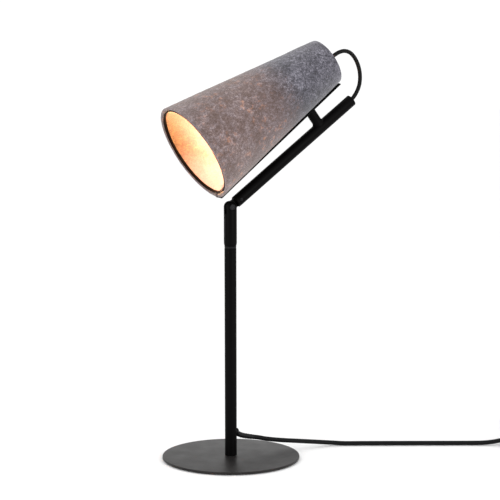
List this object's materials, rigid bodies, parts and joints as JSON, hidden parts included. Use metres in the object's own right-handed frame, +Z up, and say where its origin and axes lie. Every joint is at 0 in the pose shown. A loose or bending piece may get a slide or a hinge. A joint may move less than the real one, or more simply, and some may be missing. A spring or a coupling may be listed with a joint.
{
  "type": "desk lamp",
  "caption": "Desk lamp with a round steel base, a slim pole, a tilting arm and a long felt cone shade on a clamped seam, with a mains cord, a cord switch and a plug.",
  "frame": {"origin": "centre of the underside of the base pad, on the surface that the lamp stands on", "axes": "+Z up along the pole, +X to the side that the arm leans to and the mains cord leaves from, +Y along the knuckle's hinge"},
  "size_m": [0.5053, 0.1986, 0.4537],
  "materials": {
    "foam_pad": "matt foam",
    "base_paint": "satin powder coat, dark warm grey",
    "black_paint": "satin powder coat, black",
    "zinc_steel": "zinc plated",
    "black_steel": "black oxide",
    "black_nylon": "black nylon",
    "black_plastic": "fine moulded grain",
    "rocker_plastic": "smooth moulded",
    "black_cable": "smooth PVC sheath",
    "lead_brown": "PVC insulation",
    "lead_blue": "PVC insulation",
    "grey_felt": "pressed wool felt, mottled grey",
    "tie_fabric": "hook and loop band",
    "brass": "stamped",
    "nickel_cap": "rolled thread",
    "pin_nickel": "nickel plated",
    "opal_glass": "opal, lit warm white"
  },
  "bodies": {
    "base": {"base_pad": "foam_pad", "base_plate": "base_paint", "base_bolt": "zinc_steel", "pole_foot": "zinc_steel", "pole_tube": "black_paint", "cord_strain_relief": "black_plastic", "pole_cable": "black_cable", "swivel_spigot": "black_steel", "swivel_washer": "black_nylon", "mains_cord": "black_cable", "coil_lead_in": "black_cable", "cord_coil": "black_cable", "coil_tie": "tie_fabric", "plug_lead": "black_cable", "plug_body": "black_plastic", "plug_pin_left": "pin_nickel", "plug_pin_right": "pin_nickel", "switch_base": "black_plastic", "switch_cover": "black_plastic", "switch_screw_in": "zinc_steel", "switch_screw_out": "zinc_steel", "switch_contacts": "brass"},
    "swivel": {"swivel_sleeve": "black_paint", "sleeve_set_screw": "black_steel", "hinge_screw": "black_paint", "hinge_nut": "black_steel", "hinge_washer_near": "black_nylon", "hinge_washer_far": "black_nylon", "knuckle_lead_live": "lead_brown", "knuckle_lead_neutral": "lead_blue"},
    "arm": {"hinge_tongue": "black_paint", "arm_tube": "black_paint", "arm_grub_screw": "black_steel", "arm_end_bush": "black_plastic", "lamp_cable": "black_cable", "shade_stub": "black_paint", "felt_shade": "grey_felt", "seam_strip": "black_paint", "seam_strip_inner": "black_paint", "strip_screw_front": "black_steel", "strip_screw_middle": "black_steel", "strip_screw_back": "black_steel", "stub_screw": "black_steel", "mouth_hoop": "black_paint", "holder_bracket": "zinc_steel", "holder_nipple": "zinc_steel", "nipple_locknut": "zinc_steel", "cable_gland": "black_plastic", "holder_cap": "black_plastic", "holder_body": "black_plastic", "socket_thread": "brass", "centre_contact": "brass", "bulb_glass": "opal_glass", "bulb_cap": "nickel_cap", "bulb_contact": "brass"},
    "rocker": {"switch_rocker": "rocker_plastic"}
  },
  "joints": [
    {"name": "pole_swivel", "type": "hinge", "parent": "base", "child": "swivel", "pos_m": [0, 0, 0.2447], "axis": [0, 0, 1], "range_deg": [-150, 150]},
    {"name": "arm_tilt", "type": "hinge", "parent": "swivel", "child": "arm", "pos_m": [0, 0, 0.277], "axis": [0, 1, 0], "range_deg": [-50, 33], "deforming": ["knuckle_lead_live", "knuckle_lead_neutral"]},
    {"name": "switch_rocker", "type": "hinge", "parent": "base", "child": "rocker", "pos_m": [0.32812, -0.10092, 0.0126], "axis": [0.4431, 0.8965, 0], "range_deg": [-16, 0]}
  ]
}
